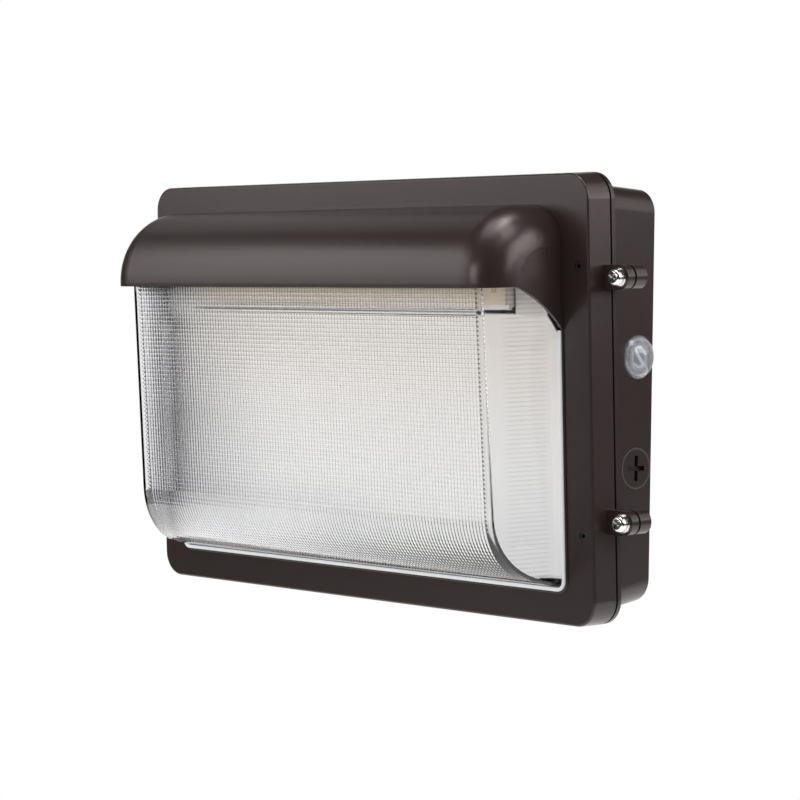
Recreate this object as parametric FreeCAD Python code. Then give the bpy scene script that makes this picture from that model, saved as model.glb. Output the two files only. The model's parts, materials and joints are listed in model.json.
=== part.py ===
import FreeCAD, Part
import math
import os

V = FreeCAD.Vector

# Wall pack light. The frame has its origin at the centre of the back face, on the wall.
# +X is to the right when facing the light, +Y goes into the wall and +Z is up.
# The door, its lens and what lies just behind it are drawn in the door's own frame, where
# Y = 0 is the door's front face, and are then leaned forward with the door.
door_tilt = 2.9
front_to_wall = 54.0
door_drop = 3.0

# Door casting
door_half_x = 180.5
door_half_z = 117.5
door_corner = 13.5
door_depth = 15.8
door_flare = 0.6
door_plate = 3.0
door_edge_round = 1.2
door_rim = 4.0
rear_half_x = door_half_x + door_flare
rear_half_z = door_half_z + door_flare
rear_corner = door_corner + door_flare
cavity_half_x = door_half_x - door_rim
cavity_half_z = door_half_z - door_rim
cavity_corner = door_corner - door_rim

# Window in the door and the bead around it
window_side = 20.6
window_foot = 18.6
window_head = 21.6
window_half_x = door_half_x - window_side
window_low = window_foot - door_half_z
window_high = door_half_z - window_head
window_corner = 5.0
window_top_corner = 15.0
bead_width = 2.2
bead_height = 0.8

# Hood, cast with the door
hood_wall = 2.1
hood_half_x = window_half_x + hood_wall
hood_rise = 6.1
hood_height = 42.0
hood_top = window_high + hood_rise
hood_lip = hood_top - hood_height
hood_depth = 53.6
hood_round = 40.0
hood_corner = 22.0
skirt_flat = 34.0
skirt_mid = 17.0
skirt_mid_drop = 8.2
skirt_drop = 23.8
skirt_mid_z = hood_lip - skirt_mid_drop
skirt_foot_z = hood_lip - skirt_drop

# Prismatic lens
lens_wall = 2.4
lens_clear = 0.9
lens_half_x = window_half_x - lens_clear
lens_low = window_low + lens_clear
lens_high = window_high - lens_clear
lens_front_high = 45.6
lens_front_low = 39.9
lens_draft = 0.262
lens_low_round = 38.0
lens_high_round = 33.0
lens_edge_round = 2.2
lens_top_corner = 14.0
lens_low_corner = 4.0
lens_flange = 5.0
lens_flange_front = door_plate + 0.9
lens_flange_thick = 2.4
lens_flange_rear = lens_flange_front + lens_flange_thick

# Clips that hold the lens against its gasket
clip_thick = 1.2
clip_length = 14.0
clip_width = 12.0
clip_boss_r = 4.0
clip_offset = 6.2
clip_spread_x = 100.0
clip_screw_r = 1.5
clip_head_r = 3.0
clip_head_h = 2.0

# Seam gasket and housing flange
seam_gap = 1.3
seam_rear = door_depth + seam_gap
gasket_inset = 1.2
gasket_width = 4.0
flange_thick = 2.5
flange_rear = seam_rear + flange_thick

# Housing box
box_inset = 4.9
box_half_x = door_half_x - box_inset
box_half_z = door_half_z - box_inset
box_taper_x = 3.0
box_taper_z = 4.2
box_rear_half_x = box_half_x - box_taper_x
box_rear_half_z = box_half_z - box_taper_z
box_corner = 13.0
box_wall = 3.0
floor_thick = 2.5
box_reach = 64.0

# Ears and cover screws on the right
ear_reach = 11.2
ear_x = door_half_x + ear_reach
ear_r = 6.4
ear_from_top = 53.8
ear_from_foot = 54.6
ear_z = (door_half_z - ear_from_top, ear_from_foot - door_half_z)
ear_front = 10.7
ear_rear = 25.1
screw_r = 2.0
screw_head_r = 4.3
screw_head_h = 3.4
screw_tip = 26.6
screw_door_hole_r = 2.4
screw_box_hole_r = 2.6
washer_r = 5.2
washer_thick = 0.9
lock_washer_r = 4.6
lock_washer_thick = 1.1
washer_clear = 0.05
screw_travel = 6.0
retainer_r = 3.0
retainer_thick = 0.8
retainer_bore_r = 3.7
ear_web = 2.0
recess_length = 5.6
recess_width = 1.2
recess_depth = 2.0

# Hinge on the left
hinge_reach = 5.9
hinge_x = -door_half_x - hinge_reach
hinge_y = door_depth + seam_gap / 2
hinge_z = ear_z
hinge_pin_r = 2.0
hinge_bore_r = 2.05
knuckle_r = 4.0
knuckle_door = 14.0
knuckle_box = 9.0
knuckle_gap = 0.5
pin_head_r = 3.4
pin_head_h = 1.6

# Small socket screws in the door's face
face_screw_inset = 7.5
face_screw_drop = 47.8
face_screw_x = door_half_x - face_screw_inset
face_screw_z = door_half_z - face_screw_drop
face_screw_r = 2.3
face_hole_r = 2.5
face_screw_sink = 0.5
face_screw_length = 6.0
face_boss_r = 4.2
face_boss_end = 9.5
face_socket = 2.5

# Conduit entries, plugs and photocell
entry_r = 10.7
entry_from_wall = 12.3
entry_pad = 6.0
plug_r = 10.6
plug_rim_r = 11.1
spot_face_r = 11.5
spot_face_depth = 0.7
plug_rim = 1.0
plug_length = 10.0
plug_slot_long = 13.4
plug_slot_short = 12.4
plug_slot_width = 2.5
plug_slot_depth = 2.2
side_entry_z = -38.5
cell_z = 20.0
cell_rim_r = 11.4
cell_rim = 1.6
cell_dome = 5.4
cell_wall = 1.2
cell_stem = 12.0
cell_disc_r = 7.2

# Rear entry, wall holes and wall seal
wall_hole_inset_x = 22.6
wall_hole_inset_z = 23.4
wall_hole_x = box_rear_half_x - wall_hole_inset_x
wall_hole_z = box_rear_half_z - wall_hole_inset_z
wall_hole_r = 2.75
box_hole_x = 44.45
box_hole_z = -24.0
box_hole_r = 2.4
rear_entry_r = 11.1
seal_inset_x = 6.6
seal_inset_z = 7.4
seal_half_x = box_rear_half_x - seal_inset_x
seal_half_z = box_rear_half_z - seal_inset_z
seal_width = 5.0
seal_depth = 1.2

# Light engine
tray_side = 31.0
tray_head = 11.0
tray_foot_height = 24.0
tray_face_height = 37.0
tray_screw_inset = 18.0
tray_screw_drop = 13.0
tray_half_x = lens_half_x - tray_side
tray_thick = 2.0
tray_foot_y = 22.0
tray_top_z = lens_high - tray_head
tray_foot_z = tray_top_z - tray_foot_height
tray_nose_y = -4.0
tray_lip_y = -4.0
tray_lip_z = tray_top_z - tray_face_height
tray_screw_x = tray_half_x - tray_screw_inset
tray_screw_z = tray_top_z - tray_screw_drop
board_inset = 1.5
board_half_x = tray_half_x - board_inset
board_width = 32.0
board_thick = 1.5
chip_size = 3.0
chip_height = 0.7
chip_columns = 26
chip_rows = (-8.0, 0.0, 8.0)
board_screw_inset = 4.0
board_screw_x = (board_screw_inset - board_half_x, 0.0, board_half_x - board_screw_inset)
connector_inset = 13.0
connector_x = connector_inset - board_half_x
connector_size = 9.0
connector_height = 4.0
board_hole_r = 3.4

# Reflector
mirror_thick = 0.8
mirror_back = 16.0
mirror_rim = 8.4
mirror_rim_side = 2.5
mirror_rim_foot = 3.5
mirror_rim_drop = 13.0
mirror_flare_x = 18.5
mirror_flare_low = 14.5
mirror_flare_high = 8.0
mirror_rim_half_x = lens_half_x - mirror_rim_side
mirror_half_x = mirror_rim_half_x - mirror_flare_x
mirror_rim_low = lens_low + mirror_rim_foot
mirror_low = mirror_rim_low + mirror_flare_low
mirror_rim_high = tray_lip_z - mirror_rim_drop
mirror_high = mirror_rim_high - mirror_flare_high
mirror_lip_y = -2.0
mirror_lip_drop = 2.5
mirror_lip_z = tray_lip_z - mirror_lip_drop
mirror_strip_inset = 4.5
mirror_strip_half_x = mirror_rim_half_x - mirror_strip_inset
mirror_wing_gap = 0.8

# Driver
driver_shift = 75.5
driver_from_foot = 52.4
driver_x = connector_x + driver_shift
driver_z = driver_from_foot - box_rear_half_z
driver_half_x = 65.0
driver_half_z = 21.0
driver_depth = 22.0
driver_round = 3.0
driver_lift = 1.0
driver_tab = 12.0
driver_tab_thick = 1.5
driver_tab_screw = 6.5
driver_end_screw = driver_half_x + driver_tab_screw

# Fasteners and wiring
post_r = 4.5
post_hole_r = 1.6
small_screw_r = 1.5
small_head_r = 3.0
small_head_h = 2.0
small_screw_grip = 6.0
lead_r = 1.1
lead_bend = 8.0
nut_base_r = 4.6
nut_tip_r = 3.4
nut_length = 16.0
lead_bore_r = 1.3
board_lead_shift = (-1.5, 1.5)
board_lead_depth = 14.0
board_lead_rise = 3.0
board_lead_turn_z = tray_lip_z + board_lead_rise
board_lead_bend = 6.0
nut_start = 33.0
nut_pitch = 14.0
nut_x = [driver_x + driver_half_x + nut_start + nut_pitch * step for step in range(4)]
nut_y = -10.0
nut_from_foot = 34.4
nut_mouth_z = nut_from_foot - box_rear_half_z
nut_bore_r = 2.7
nut_bore_depth = 9.0
nut_lead_shift = 1.3
ground_shift = 18.0
ground_x = nut_x[3] + ground_shift
ground_z = -30.0
ground_post = 5.0
lug_r = 4.0
lug_thick = 0.8
lug_barrel_r = 1.9
lug_barrel_lift = 2.1

# Screws of the reflector; those on the right stand between two of the connectors
mirror_screw_inset = 7.0
mirror_screw_lift = 12.0
mirror_screw_drop = 10.0
mirror_screw_x = (mirror_screw_inset - mirror_half_x, nut_x[1] + nut_pitch / 2)
mirror_screw_z = (cell_z - mirror_screw_drop, mirror_low + mirror_screw_lift)

# How far a tool body runs past the face that it cuts
nudge = 0.5


def lean(shape):
    """Takes a shape from the door's frame to the frame of the light."""
    leaned = shape.copy()
    leaned.rotate(V(0, 0, 0), V(1, 0, 0), door_tilt)
    leaned.translate(V(0, -front_to_wall, -door_drop))
    return leaned


def lean_point(x, y, z):
    """Where a point in the door's frame lies in the frame of the light."""
    angle = math.radians(door_tilt)
    world_y = y * math.cos(angle) - z * math.sin(angle) - front_to_wall
    world_z = y * math.sin(angle) + z * math.cos(angle) - door_drop
    return V(x, world_y, world_z)


def rounded_wire(half_x, low, high, radius, y, top_radius=None):
    """Rounded rectangle in a plane of constant Y, centred on X = 0."""
    top = top_radius or radius
    corners = (
        (half_x - radius, low + radius, radius, -90),
        (half_x - top, high - top, top, 0),
        (top - half_x, high - top, top, 90),
        (radius - half_x, low + radius, radius, 180),
    )
    arcs = []
    for cx, cz, reach, start in corners:
        turns = [math.radians(start + step) for step in (0, 45, 90)]
        arcs.append([V(cx + reach * math.cos(t), y, cz + reach * math.sin(t)) for t in turns])
    edges = []
    for index, arc in enumerate(arcs):
        edges.append(Part.Arc(*arc).toShape())
        edges.append(Part.makeLine(arc[2], arcs[(index + 1) % 4][0]))
    return Part.Wire(edges)


def slab(half_x, low, high, radius, y0, y1, top_radius=None):
    """Rounded rectangle carried from Y = y0 to Y = y1."""
    face = Part.Face(rounded_wire(half_x, low, high, radius, y0, top_radius))
    return face.extrude(V(0, y1 - y0, 0))


def taper(first, second):
    """Straight-sided solid between two rounded rectangles."""
    return Part.makeLoft([rounded_wire(*first), rounded_wire(*second)], True, True)


def along_x(outline, x0, x1):
    """Closed outline of (y, z) points carried from X = x0 to X = x1."""
    points = [V(x0, y, z) for y, z in outline]
    face = Part.Face(Part.makePolygon(points + points[:1]))
    return face.extrude(V(x1 - x0, 0, 0))


def block(x0, x1, y0, y1, z0, z1):
    return Part.makeBox(x1 - x0, y1 - y0, z1 - z0, V(x0, y0, z0))


def rod_y(radius, x, z, y0, y1):
    return Part.makeCylinder(radius, y1 - y0, V(x, y0, z), V(0, 1, 0))


def rod_x(radius, y, z, x0, x1):
    return Part.makeCylinder(radius, x1 - x0, V(x0, y, z), V(1, 0, 0))


def rod_z(radius, x, y, z0, z1):
    return Part.makeCylinder(radius, z1 - z0, V(x, y, z0), V(0, 0, 1))


def bent_strip(line, thick):
    """Outline of a sheet of even thickness that follows a line of (y, z) points."""
    normals = []
    for (y0, z0), (y1, z1) in zip(line, line[1:]):
        length = math.hypot(y1 - y0, z1 - z0)
        normals.append(((z0 - z1) / length, (y1 - y0) / length))
    offset = []
    for index, (y, z) in enumerate(line):
        before = normals[max(index - 1, 0)]
        after = normals[min(index, len(normals) - 1)]
        share = 1 + before[0] * after[0] + before[1] * after[1]
        shift_y = thick * (before[0] + after[0]) / share
        shift_z = thick * (before[1] + after[1]) / share
        offset.append((y + shift_y, z + shift_z))
    return list(line) + offset[::-1]


def export(node, shape):
    shape.exportStep("parts/" + node + ".step")


def ring(half_x, low, high, radius, width, y0, y1):
    """Flat frame of even width inside a rounded rectangle."""
    outer = slab(half_x, low, high, radius, y0, y1)
    inner_radius = max(radius - width, nudge)
    inner = slab(half_x - width, low + width, high - width, inner_radius, y0 - nudge, y1 + nudge)
    return outer.cut(inner)


def side_edges(shape, half_x, keep):
    """Edges that lie in the two end planes X = half_x and X = -half_x."""
    found = []
    for edge in shape.Edges:
        box = edge.BoundBox
        at_end = abs(abs(box.Center.x) - half_x) < 0.01 and box.XLength < 0.01
        if at_end and keep(box):
            found.append(edge)
    return found


def hood_block(half_x, depth, top, front_round, end_round, back):
    """Solid hood: a quarter round along its front and rounded at both ends."""
    low = skirt_foot_z - 8
    body = block(-half_x, half_x, -depth, back, low, top)
    front = [e for e in body.Edges if e.BoundBox.XLength > half_x
             and e.BoundBox.Center.y < nudge - depth and e.BoundBox.Center.z > top - nudge]
    body = body.makeFillet(front_round, front)
    ends = side_edges(body, half_x, lambda box: box.YMin < back - 0.01 and box.ZMax > low + 0.01)
    return body.makeFillet(end_round, ends)


def hood_underside():
    """What is cut away below the hood's front lip and its two swept skirts."""
    low = skirt_foot_z - 12
    reach = hood_depth + nudge
    flat = V(0, -skirt_flat, hood_lip)
    middle = V(0, -skirt_mid, skirt_mid_z)
    foot = V(0, 0, skirt_foot_z)
    corners = [foot, V(0, 2, skirt_foot_z), V(0, 2, low), V(0, -reach, low),
               V(0, -reach, hood_lip), flat]
    edges = [Part.Arc(flat, middle, foot).toShape()]
    for start, end in zip(corners, corners[1:]):
        edges.append(Part.makeLine(start, end))
    face = Part.Face(Part.Wire(edges))
    face.translate(V(-hood_half_x - nudge, 0, 0))
    return face.extrude(V(2 * hood_half_x + 2 * nudge, 0, 0))


def hood():
    outer = hood_block(hood_half_x, hood_depth, hood_top, hood_round, hood_corner, 1.0)
    inner = hood_block(hood_half_x - hood_wall, hood_depth - hood_wall, hood_top - hood_wall,
                       hood_round - hood_wall, hood_corner - hood_wall, 0.0)
    return outer.cut(inner).cut(hood_underside())


def window_bead():
    half_x = window_half_x + bead_width
    low = window_low - bead_width
    radius = window_corner + bead_width
    top = window_high + bead_width
    frame = ring(half_x, low, top, radius, bead_width, -bead_height, nudge)
    crest = [e for e in frame.Edges if abs(e.BoundBox.Center.y + bead_height) < 0.01
             and e.BoundBox.YLength < 0.01]
    frame = frame.makeFillet(0.5, crest)
    above = block(-half_x - 1, half_x + 1, -2, 2, skirt_foot_z - 1, top + 1)
    return frame.cut(above)


def clip_places():
    """(x, z) of the screws of the clips around the lens, with the way to the lens."""
    low = lens_low - lens_flange - clip_offset + 0.8
    side = lens_half_x + lens_flange + clip_offset
    places = []
    for x in (-clip_spread_x, clip_spread_x):
        places.append((x, low, 0, 1))
    for sign in (-1, 1):
        places.append((sign * side, -50.0, -sign, 0))
        places.append((sign * side, 44.0, -sign, 0))
    return places


def ear(z, y0, y1, root_x):
    """Half-round ear that stands out of the right side."""
    arm = block(root_x, ear_x, y0, y1, z - ear_r, z + ear_r)
    return arm.fuse(rod_y(ear_r, ear_x, z, y0, y1))


def knuckle(z0, z1, y0, y1, root_x):
    """Barrel of the hinge on the left with the web that carries it."""
    barrel = rod_z(knuckle_r, hinge_x, hinge_y, z0, z1)
    web = block(hinge_x, root_x, y0, y1, z0, z1)
    return barrel.fuse(web)


def door():
    outer = taper((door_half_x, -door_half_z, door_half_z, door_corner, 0),
                  (rear_half_x, -rear_half_z, rear_half_z, rear_corner, door_depth))
    face_edges = [e for e in outer.Edges if e.BoundBox.YMax < 0.01]
    body = outer.makeFillet(door_edge_round, face_edges)
    cavity = slab(cavity_half_x, -cavity_half_z, cavity_half_z, cavity_corner,
                  door_plate, door_depth + nudge)
    body = body.cut(cavity).fuse(hood()).fuse(window_bead())
    window = slab(window_half_x, window_low, window_high, window_corner,
                  -2 * bead_height, door_plate + nudge, window_top_corner)
    body = body.cut(window)
    for x, z, _, _ in clip_places():
        boss = rod_y(clip_boss_r, x, z, door_plate - nudge, lens_flange_rear)
        hole = rod_y(clip_screw_r + 0.05, x, z, door_plate - 1, lens_flange_rear + nudge)
        body = body.fuse(boss).cut(hole)
    for x in (-face_screw_x, face_screw_x):
        for z in (-face_screw_z, face_screw_z):
            body = body.fuse(rod_y(face_boss_r, x, z, door_plate - nudge, face_boss_end))
            bottom = face_screw_sink + face_screw_length + 0.1
            body = body.cut(rod_y(face_hole_r, x, z, -nudge, bottom))
    for z in ear_z:
        body = body.fuse(ear(z, ear_front, door_depth, cavity_half_x + 1))
        body = body.cut(rod_y(screw_door_hole_r, ear_x, z, 0, door_depth + nudge))
    for z in hinge_z:
        half = knuckle_door / 2
        barrel = knuckle(z - half, z + half, ear_front + 1, door_depth, 1 - door_half_x)
        body = body.fuse(barrel)
        body = body.cut(rod_z(hinge_bore_r, hinge_x, hinge_y, z - half - 1, z + half + 1))
    return lean(body.removeSplitter())


def lens_profile(inset):
    """Side profile of the lens bulge, drawn in (y, z) and open at the back."""
    front_high = lens_front_high - inset
    front_low = lens_front_low - inset
    high = lens_high - inset
    low = lens_low + inset
    rear = lens_flange_rear + nudge * (1 if inset else 0)
    outline = [(rear, low), (0, low), (-front_low, low + lens_draft * front_low),
               (-front_high, high), (rear, high)]
    return along_x(outline, -lens_half_x - 2, lens_half_x + 2)


def lens_solid(inset):
    """The lens bulge as a full solid, drawn in by an even inset."""
    body = lens_profile(inset)
    across = [e for e in body.Edges if e.BoundBox.XLength > lens_half_x]
    low_edge = [e for e in across if e.BoundBox.Center.y < -20 and e.BoundBox.Center.z < 0]
    high_edge = [e for e in across if e.BoundBox.Center.y < -20 and e.BoundBox.Center.z > 0]
    body = body.makeFillet(lens_low_round - inset, low_edge)
    high_edge = [e for e in body.Edges if e.BoundBox.XLength > lens_half_x
                 and e.BoundBox.Center.y < -20 and e.BoundBox.Center.z > lens_high - inset - 1]
    body = body.makeFillet(lens_high_round - inset, high_edge)
    half = lens_half_x - inset
    reach = lens_front_high + 2
    narrow = half - lens_draft * reach
    rear = lens_flange_rear + 1
    corners = [V(-half, rear, -120), V(-half, 0, -120), V(-narrow, -reach, -120),
               V(narrow, -reach, -120), V(half, 0, -120), V(half, rear, -120)]
    wedge = Part.Face(Part.makePolygon(corners + corners[:1])).extrude(V(0, 0, 240))
    outline = slab(half, lens_low + inset, lens_high - inset, lens_low_corner, -reach, rear,
                   lens_top_corner - inset)
    body = body.common(wedge).common(outline).removeSplitter()
    top = lens_high - inset - 0.1
    narrowing = 2 * lens_draft * reach
    rim = []
    for edge in body.Edges:
        box = edge.BoundBox
        at_end = box.XLength < narrowing and box.YLength > 1 and box.YMin < -1
        if at_end and box.ZMax < top or is_front_corner(edge):
            rim.append(edge)
    return body, rim


def is_front_corner(edge):
    """The upright edges between the lens front and its two ends."""
    box = edge.BoundBox
    return box.ZLength > 60 and box.YMax < -30 and box.XLength < 5


def lens():
    outer, outer_rim = lens_solid(0.0)
    outer = outer.makeFillet(lens_edge_round, outer_rim)
    inner, _ = lens_solid(lens_wall)
    flange = slab(lens_half_x + lens_flange, lens_low - lens_flange, lens_high + lens_flange, 4.0,
                  lens_flange_front, lens_flange_rear)
    return lean(outer.fuse(flange).cut(inner).removeSplitter())


def lens_gasket():
    """Flat seal between the door plate and the flange of the lens."""
    inside = window_half_x - lens_half_x + 0.3
    width = lens_flange - inside - 0.4
    half_x = lens_half_x + lens_flange - 0.4
    low = lens_low - lens_flange + 0.4
    high = lens_high + lens_flange - 0.4
    return lean(ring(half_x, low, high, 4.0, width, door_plate, lens_flange_front))


def lens_clips():
    clips = []
    for x, z, way_x, way_z in clip_places():
        cx = x + way_x * 2.5
        cz = z + way_z * 2.5
        half_x = clip_length / 2 if way_x else clip_width / 2
        half_z = clip_length / 2 if way_z else clip_width / 2
        reach = 1.5
        plate = block(cx - half_x + reach, cx + half_x - reach,
                      lens_flange_rear, lens_flange_rear + clip_thick,
                      cz - half_z + reach, cz + half_z - reach)
        clips.append(plate.cut(rod_y(clip_screw_r + 0.2, x, z, 0, door_depth)))
    return lean(Part.makeCompound(clips))


def pan_screw(x, z, seat, radius, head_r, head_h, grip):
    """Pan-head screw that points into the wall from its seat at Y = seat."""
    shank = rod_y(radius, x, z, seat, seat + grip)
    head = rod_y(head_r, x, z, seat - head_h, seat)
    crown = [e for e in head.Edges if abs(e.BoundBox.Center.y - (seat - head_h)) < 0.01
             and e.BoundBox.YLength < 0.01]
    head = head.makeFillet(head_h * 0.45, crown)
    return head.fuse(shank).cut(cross_recess(x, z, seat - head_h, head_r, head_h * 0.6))


def cross_recess(x, z, top, head_r, depth):
    """Cross-shaped recess in a screw head whose top is at Y = top."""
    arm = head_r * 0.5
    half = head_r * 0.11
    flat = block(x - arm, x + arm, top - 1, top + depth, z - half, z + half)
    upright = block(x - half, x + half, top - 1, top + depth, z - arm, z + arm)
    return flat.fuse(upright)


def turned_screw(x, z, seat, radius, head_r, head_h, grip):
    """Pan-head screw with its head on the wall side, pointing to the front."""
    screw = pan_screw(-x, z, -seat, radius, head_r, head_h, grip)
    screw.rotate(V(0, 0, 0), V(0, 0, 1), 180)
    return screw


def lens_clip_screws():
    seat = lens_flange_rear + clip_thick
    screws = [turned_screw(x, z, seat, clip_screw_r, clip_head_r, clip_head_h, 4.0)
              for x, z, _, _ in clip_places()]
    return lean(Part.makeCompound(screws))


def face_screws():
    """Socket screws sunk in the front of the door."""
    screws = []
    top = face_screw_sink
    for x in (-face_screw_x, face_screw_x):
        for z in (-face_screw_z, face_screw_z):
            body = rod_y(face_screw_r, x, z, top, top + face_screw_length)
            corners = []
            for step in range(6):
                turn = math.radians(60 * step)
                reach = face_socket / math.sqrt(3)
                corners.append(V(x + reach * math.cos(turn), top - 1, z + reach * math.sin(turn)))
            socket = Part.Face(Part.makePolygon(corners + corners[:1])).extrude(V(0, 3.5, 0))
            screws.append(body.cut(socket))
    return lean(Part.makeCompound(screws))


def seam_gasket():
    half_x = rear_half_x - gasket_inset
    half_z = rear_half_z - gasket_inset
    return lean(ring(half_x, -half_z, half_z, rear_corner - gasket_inset, gasket_width,
                     door_depth, seam_rear))


def behind_wall(y):
    """Everything beyond a plane of constant Y in the frame of the light."""
    return block(-260, 260, y, y + 60, -200, 200)


def floor_rod(radius, x, z, seat):
    """Post on the floor of the housing; its top is at Y = seat in the door's frame."""
    return rod_y(radius, x, z, seat, box_reach)


def posts():
    """(x, z, seat) of the posts for the tray and the reflector, in the door's frame."""
    places = [(x, tray_screw_z, tray_foot_y + tray_thick) for x in (-tray_screw_x, tray_screw_x)]
    for x in mirror_screw_x:
        for z in mirror_screw_z:
            places.append((x, z, mirror_back + mirror_thick))
    return places


def entry_places():
    """Centre and outward direction of each conduit entry, on the face of the box."""
    side = side_face_x(-entry_from_wall)
    return (
        (V(side, -entry_from_wall, side_entry_z), V(1, 0, 0)),
        (V(-side, -entry_from_wall, side_entry_z), V(-1, 0, 0)),
    )


def side_face_x(world_y):
    """Half width of the box at the spot faces of its entries, at a depth."""
    depth = world_y + front_to_wall
    share = (depth - seam_rear) / (box_reach - seam_rear)
    return box_half_x + (box_rear_half_x - box_half_x) * share - spot_face_depth


def housing():
    flange = slab(rear_half_x, -rear_half_z, rear_half_z, rear_corner, seam_rear, flange_rear)
    box = taper((box_half_x, -box_half_z, box_half_z, box_corner, seam_rear),
                (box_rear_half_x, -box_rear_half_z, box_rear_half_z, box_corner, box_reach))
    inside = taper((box_half_x - box_wall, box_wall - box_half_z, box_half_z - box_wall,
                    box_corner - box_wall, seam_rear - nudge),
                   (box_rear_half_x - box_wall, box_wall - box_rear_half_z, box_rear_half_z - box_wall,
                    box_corner - box_wall, box_reach + nudge))
    body = flange.fuse(box)
    for z in ear_z:
        body = body.fuse(ear(z, seam_rear, ear_rear, box_half_x - 1))
    for z in hinge_z:
        for z0, z1 in box_knuckles(z):
            body = body.fuse(knuckle(z0, z1, seam_rear, seam_rear + 5, 1 - box_half_x))
    body = lean(body)
    cavity = lean(inside).cut(behind_wall(-floor_thick))
    body = body.cut(cavity)
    for place, out in entry_places():
        pad_face = abs(place.x) - box_wall - entry_pad
        pad = rod_x(entry_r + 3.0, place.y, place.z, pad_face, abs(place.x) - 1)
        if out.x < 0:
            pad.rotate(V(0, 0, 0), V(0, 0, 1), 180)
            pad.translate(V(0, 2 * place.y, 0))
        body = body.fuse(pad)
    cell_x = side_face_x(-entry_from_wall)
    cell_pad = rod_x(entry_r + 3.0, -entry_from_wall, cell_z, cell_x - box_wall - entry_pad, cell_x - 1)
    body = body.fuse(cell_pad)
    for x, z, seat in posts():
        body = body.fuse(lean(floor_rod(post_r, x, z, seat)))
    for x in driver_screw_places():
        body = body.fuse(rod_y(post_r, x, driver_z, -floor_thick - driver_lift, -1))
    body = body.fuse(rod_y(post_r, ground_x, ground_z, -floor_thick - ground_post, -1))
    body = body.cut(behind_wall(0))
    cuts = [rod_x(entry_r, -entry_from_wall, cell_z, cell_x - 20, cell_x + 5),
            rod_x(spot_face_r, -entry_from_wall, cell_z, cell_x, cell_x + 5)]
    for place, out in entry_places():
        cuts.append(Part.makeCylinder(entry_r, 25, place - out * 20, out))
        cuts.append(Part.makeCylinder(spot_face_r, 5, place, out))
    for x, z, seat in posts():
        cuts.append(lean(rod_y(post_hole_r, x, z, seat - 1, seat + 9)))
    for x in driver_screw_places():
        cuts.append(rod_y(post_hole_r, x, driver_z, -floor_thick - driver_lift - 1, -1))
    cuts.append(rod_y(post_hole_r, ground_x, ground_z, -floor_thick - ground_post - 1, -1))
    for z in ear_z:
        cuts.append(lean(rod_y(screw_box_hole_r, ear_x, z, seam_rear - 1, ear_rear + 1)))
        cuts.append(lean(rod_y(retainer_bore_r, ear_x, z, seam_rear - 1, ear_rear - ear_web)))
    for z in hinge_z:
        for z0, z1 in box_knuckles(z):
            cuts.append(lean(rod_z(hinge_bore_r, hinge_x, hinge_y, z0 - 1, z1 + 1)))
    for x in (-wall_hole_x, wall_hole_x):
        for z in (-wall_hole_z, wall_hole_z):
            cuts.append(rod_y(wall_hole_r, x, z, -floor_thick - 1, 1))
    for x in (-box_hole_x, box_hole_x):
        cuts.append(rod_y(box_hole_r, x, box_hole_z, -floor_thick - 1, 1))
    cuts.append(rod_y(rear_entry_r, 0, box_hole_z, -floor_thick - 1, 1))
    cuts.append(ring(seal_half_x, -seal_half_z, seal_half_z, 10.0, seal_width, -seal_depth, nudge))
    for cut in cuts:
        body = body.cut(cut)
    return body.removeSplitter()


def box_knuckles(z):
    """Height spans of the two housing knuckles around one door knuckle."""
    near = knuckle_door / 2 + knuckle_gap
    far = near + knuckle_box
    return ((z + near, z + far), (z - far, z - near))


def driver_screw_places():
    return (driver_x - driver_end_screw, driver_x + driver_end_screw)


def wall_seal():
    return ring(seal_half_x, -seal_half_z, seal_half_z, 10.0, seal_width, -seal_depth, 0)


def hinge_pins():
    pins = []
    for z in hinge_z:
        reach = knuckle_door / 2 + knuckle_gap + knuckle_box
        pin = rod_z(hinge_pin_r, hinge_x, hinge_y, z - reach - 1.5, z + reach)
        pins.append(pin.fuse(rod_z(pin_head_r, hinge_x, hinge_y, z + reach, z + reach + pin_head_h)))
    return lean(Part.makeCompound(pins))


def cover_screw(z):
    """Cover screw with a domed head and a cross recess."""
    head_seat = ear_front - washer_thick - lock_washer_thick
    top = head_seat - screw_head_h
    head = rod_y(screw_head_r, ear_x, z, top, head_seat)
    crown = [e for e in head.Edges if abs(e.BoundBox.Center.y - top) < 0.01 and e.BoundBox.YLength < 0.01]
    head = head.makeFillet(screw_head_h * 0.5, crown)
    body = head.fuse(rod_y(screw_r, ear_x, z, head_seat, screw_tip))
    half = recess_width / 2
    arm = recess_length / 2
    slot = block(ear_x - arm, ear_x + arm, top - 1, top + recess_depth, z - half, z + half)
    cross = block(ear_x - half, ear_x + half, top - 1, top + recess_depth, z - arm, z + arm)
    recess = slot.fuse(cross)
    recess.rotate(V(ear_x, 0, z), V(0, 1, 0), 35)
    return lean(body.cut(recess))


def cover_washers(z):
    """Flat and lock washer under the head and the ring that keeps the screw in the ear."""
    head_seat = ear_front - washer_thick - lock_washer_thick
    bore = rod_y(screw_r + washer_clear, ear_x, z, 0, screw_tip)
    lock = rod_y(lock_washer_r, ear_x, z, head_seat, head_seat + lock_washer_thick)
    flat = rod_y(washer_r, ear_x, z, ear_front - washer_thick, ear_front)
    keeper_y = door_depth + screw_travel
    keeper = rod_y(retainer_r, ear_x, z, keeper_y, keeper_y + retainer_thick)
    return lean(Part.makeCompound([piece.cut(bore) for piece in (lock, flat, keeper)]))


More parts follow.
